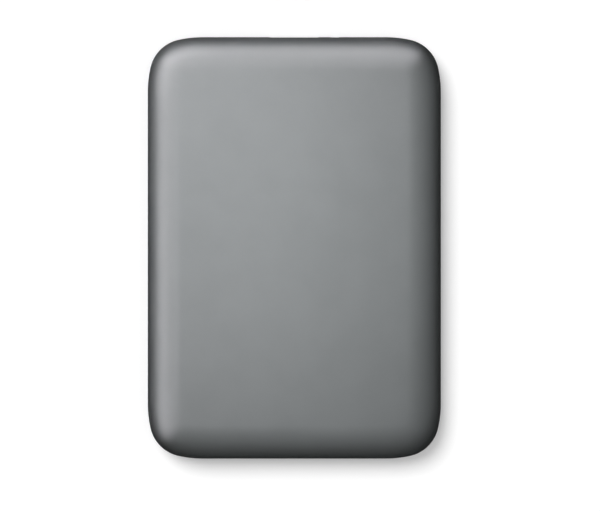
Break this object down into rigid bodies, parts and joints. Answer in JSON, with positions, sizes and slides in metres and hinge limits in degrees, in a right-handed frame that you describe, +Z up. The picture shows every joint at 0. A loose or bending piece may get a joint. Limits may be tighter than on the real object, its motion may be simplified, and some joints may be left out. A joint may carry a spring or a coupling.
{
  "type": "portable external hard drive",
  "caption": "Flat pillow-shaped grey enclosure with eased corners, a port at one end and a spinning disk drive inside.",
  "frame": {"origin": "middle of the underside, on the surface that it lies on", "axes": "+Z up through the top cover, +Y along the length towards the port end, +X to the right seen from above"},
  "size_m": [0.08, 0.115, 0.0148],
  "materials": {
    "cover_paint": "satin grey paint with a fine metallic grain",
    "bumper_rubber": "matt black moulded rubber",
    "board_green": "green solder mask on glass-fibre board",
    "chip_black": "matt black chip package",
    "connector_black": "black moulded connector plastic",
    "sheet_steel": "bright plated sheet steel",
    "screw_steel": "plain machined steel",
    "cast_aluminium": "die-cast aluminium with machined seats",
    "machined_aluminium": "machined aluminium",
    "platter_mirror": "polished coated disk",
    "magnet_nickel": "nickel-plated magnet",
    "copper_wire": "enamelled copper winding",
    "moulded_cream": "cream moulded plastic",
    "slider_ceramic": "dark lapped ceramic",
    "flex_amber": "amber polyimide film",
    "filter_felt": "white filter felt",
    "light_clear": "frosted clear plastic"
  },
  "bodies": {
    "housing": {"top_cover": "cover_paint", "bottom_cover": "cover_paint", "bumper_front_left": "bumper_rubber", "bumper_front_right": "bumper_rubber", "bumper_rear_left": "bumper_rubber", "bumper_rear_right": "bumper_rubber", "crash_stops": "bumper_rubber", "lid_gasket": "bumper_rubber", "bridge_board": "board_green", "controller_board": "board_green", "bridge_chip": "chip_black", "controller_chip": "chip_black", "memory_chip": "chip_black", "motor_driver_chip": "chip_black", "sata_plug": "connector_black", "sata_receptacle": "connector_black", "usb_insert": "connector_black", "flex_bracket": "connector_black", "usb_shell": "sheet_steel", "bridge_crystal": "sheet_steel", "drive_lid": "sheet_steel", "lid_screws": "screw_steel", "board_screws": "screw_steel", "ramp_screw": "screw_steel", "pivot_shaft": "screw_steel", "bearing_sleeve": "screw_steel", "yoke_posts": "screw_steel", "lower_yoke": "screw_steel", "upper_yoke": "screw_steel", "stator_core": "screw_steel", "base_casting": "cast_aluminium", "lower_magnet": "magnet_nickel", "upper_magnet": "magnet_nickel", "stator_coils": "copper_wire", "load_ramp": "moulded_cream", "flex_ribbon": "flex_amber", "recirculation_filter": "filter_felt", "breather_filter": "filter_felt", "light_pipe": "light_clear", "activity_led": "light_clear"},
    "disk_stack": {"motor_hub": "machined_aluminium", "rotor_magnet": "magnet_nickel", "platter": "platter_mirror", "disk_clamp": "machined_aluminium", "clamp_screw": "screw_steel"},
    "actuator": {"arm_block": "machined_aluminium", "pivot_sleeve": "screw_steel", "voice_coil": "copper_wire", "coil_carrier": "moulded_cream", "head_suspensions": "sheet_steel", "head_sliders": "slider_ceramic"}
  },
  "joints": [
    {"name": "spindle_spin", "type": "hinge", "parent": "housing", "child": "disk_stack", "pos_m": [0, -0.0172, 0.00697], "axis": [0, 0, 1], "continuous": true},
    {"name": "actuator_swing", "type": "hinge", "parent": "housing", "child": "actuator", "pos_m": [-0.016, 0.02109, 0.00697], "axis": [0, 0, 1], "range_deg": [-33.57, 0], "deforming": ["flex_ribbon"]}
  ]
}
